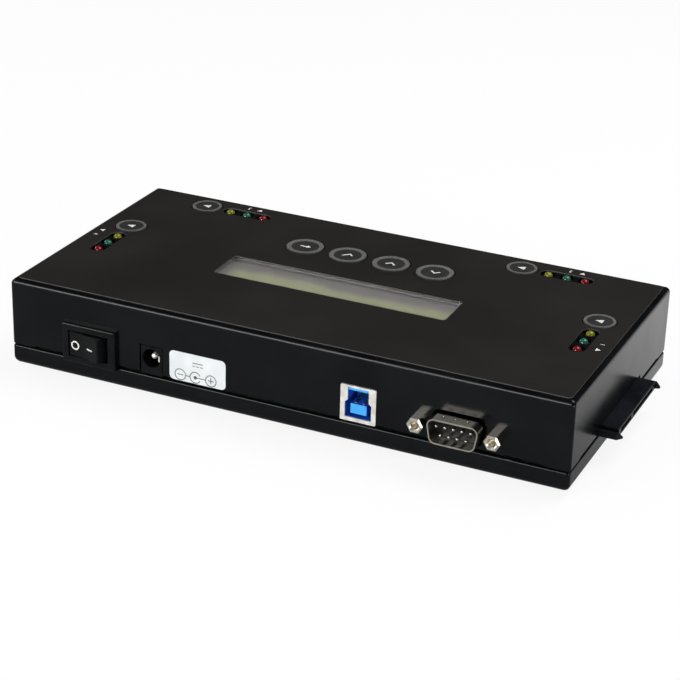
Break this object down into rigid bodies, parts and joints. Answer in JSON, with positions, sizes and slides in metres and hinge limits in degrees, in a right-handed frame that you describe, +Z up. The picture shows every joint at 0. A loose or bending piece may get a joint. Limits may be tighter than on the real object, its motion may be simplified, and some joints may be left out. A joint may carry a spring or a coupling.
{
  "type": "hard drive eraser",
  "caption": "Flat stand-alone drive eraser: black steel case with a text display, round keys, lamps, rocker switch, power, USB and serial sockets, and drive sockets along its edges.",
  "frame": {"origin": "on the surface that the feet stand on, under the middle of the whole object with its sockets", "axes": "+Z up; +Y out of the rear connector panel; -Y towards the user; +X the user's right"},
  "size_m": [0.2096, 0.1112, 0.0333],
  "materials": {
    "powder_coat": "satin powder-coated steel",
    "face_film": "matte printed polyester film",
    "clear_pane": "clear acrylic",
    "key_cap": "satin moulded plastic",
    "lamp_yellow": "tinted clear epoxy",
    "lamp_green": "tinted clear epoxy",
    "lamp_red": "tinted clear epoxy",
    "display_frame": "black lacquered steel",
    "display_glass": "grey-green liquid crystal panel",
    "light_guide": "translucent acrylic",
    "circuit_board": "green solder mask",
    "black_plastic": "moulded plastic",
    "switch_plastic": "semi-gloss moulded nylon",
    "tinned_steel": "tin-plated steel",
    "plated_steel": "zinc or nickel plated steel",
    "gold_plate": "gold flash on brass",
    "blue_plastic": "moulded nylon",
    "label_film": "white printed label",
    "chip_epoxy": "moulded epoxy",
    "can_aluminium": "drawn aluminium can",
    "ferrite": "pressed ferrite",
    "lead_pvc": "soft PVC sleeve",
    "foot_rubber": "moulded rubber"
  },
  "bodies": {
    "case": {"top_cover": "powder_coat", "bottom_tray": "powder_coat", "face_overlay": "face_film", "display_window": "clear_pane", "key_switches": "black_plastic", "leds_yellow": "lamp_yellow", "leds_green": "lamp_green", "leds_red": "lamp_red", "lcd_bezel": "display_frame", "lcd_glass": "display_glass", "lcd_backlight": "light_guide", "lcd_board": "circuit_board", "control_board": "circuit_board", "main_board": "circuit_board", "rocker_housing": "switch_plastic", "switch_terminals": "plated_steel", "switch_leads": "lead_pvc", "jack_body": "switch_plastic", "jack_contacts": "tinned_steel", "rating_label": "label_film", "usb_shell": "tinned_steel", "usb_insert": "blue_plastic", "usb_contacts": "gold_plate", "serial_shell": "tinned_steel", "serial_insulator": "black_plastic", "serial_pins": "plated_steel", "serial_posts": "plated_steel", "sata_socket_1": "black_plastic", "sata_socket_2": "black_plastic", "sata_socket_3": "black_plastic", "sata_socket_4": "black_plastic", "sata_contacts": "gold_plate", "controller_chip": "chip_epoxy", "support_chips": "chip_epoxy", "capacitors": "can_aluminium", "inductors": "ferrite", "board_headers": "black_plastic", "board_standoffs": "plated_steel", "panel_standoffs": "plated_steel", "case_pillars": "plated_steel", "board_screws": "plated_steel", "case_screws": "plated_steel", "lcd_screws": "plated_steel", "lcd_nuts": "plated_steel", "lcd_spacers": "plated_steel", "rubber_feet": "foot_rubber"},
    "menu_key_back": {"menu_key_back": "key_cap"},
    "menu_key_ok": {"menu_key_ok": "key_cap"},
    "menu_key_down": {"menu_key_down": "key_cap"},
    "menu_key_up": {"menu_key_up": "key_cap"},
    "start_key_1": {"start_key_1": "key_cap"},
    "start_key_2": {"start_key_2": "key_cap"},
    "start_key_3": {"start_key_3": "key_cap"},
    "start_key_4": {"start_key_4": "key_cap"},
    "rocker": {"rocker_paddle": "switch_plastic"}
  },
  "joints": [
    {"name": "menu_key_back_press", "type": "slide", "parent": "case", "child": "menu_key_back", "axis": [0, 0, -1], "range_m": [0, 0.0005], "stiffness_N_per_m": 3000},
    {"name": "menu_key_ok_press", "type": "slide", "parent": "case", "child": "menu_key_ok", "axis": [0, 0, -1], "range_m": [0, 0.0005], "stiffness_N_per_m": 3000},
    {"name": "menu_key_down_press", "type": "slide", "parent": "case", "child": "menu_key_down", "axis": [0, 0, -1], "range_m": [0, 0.0005], "stiffness_N_per_m": 3000},
    {"name": "menu_key_up_press", "type": "slide", "parent": "case", "child": "menu_key_up", "axis": [0, 0, -1], "range_m": [0, 0.0005], "stiffness_N_per_m": 3000},
    {"name": "start_key_1_press", "type": "slide", "parent": "case", "child": "start_key_1", "axis": [0, 0, -1], "range_m": [0, 0.0005], "stiffness_N_per_m": 3000},
    {"name": "start_key_2_press", "type": "slide", "parent": "case", "child": "start_key_2", "axis": [0, 0, -1], "range_m": [0, 0.0005], "stiffness_N_per_m": 3000},
    {"name": "start_key_3_press", "type": "slide", "parent": "case", "child": "start_key_3", "axis": [0, 0, -1], "range_m": [0, 0.0005], "stiffness_N_per_m": 3000},
    {"name": "start_key_4_press", "type": "slide", "parent": "case", "child": "start_key_4", "axis": [0, 0, -1], "range_m": [0, 0.0005], "stiffness_N_per_m": 3000},
    {"name": "rocker_tip", "type": "hinge", "parent": "case", "child": "rocker", "pos_m": [0.0672, 0.04825, 0.0152], "axis": [0, 0, 1], "range_deg": [0, 26]}
  ]
}
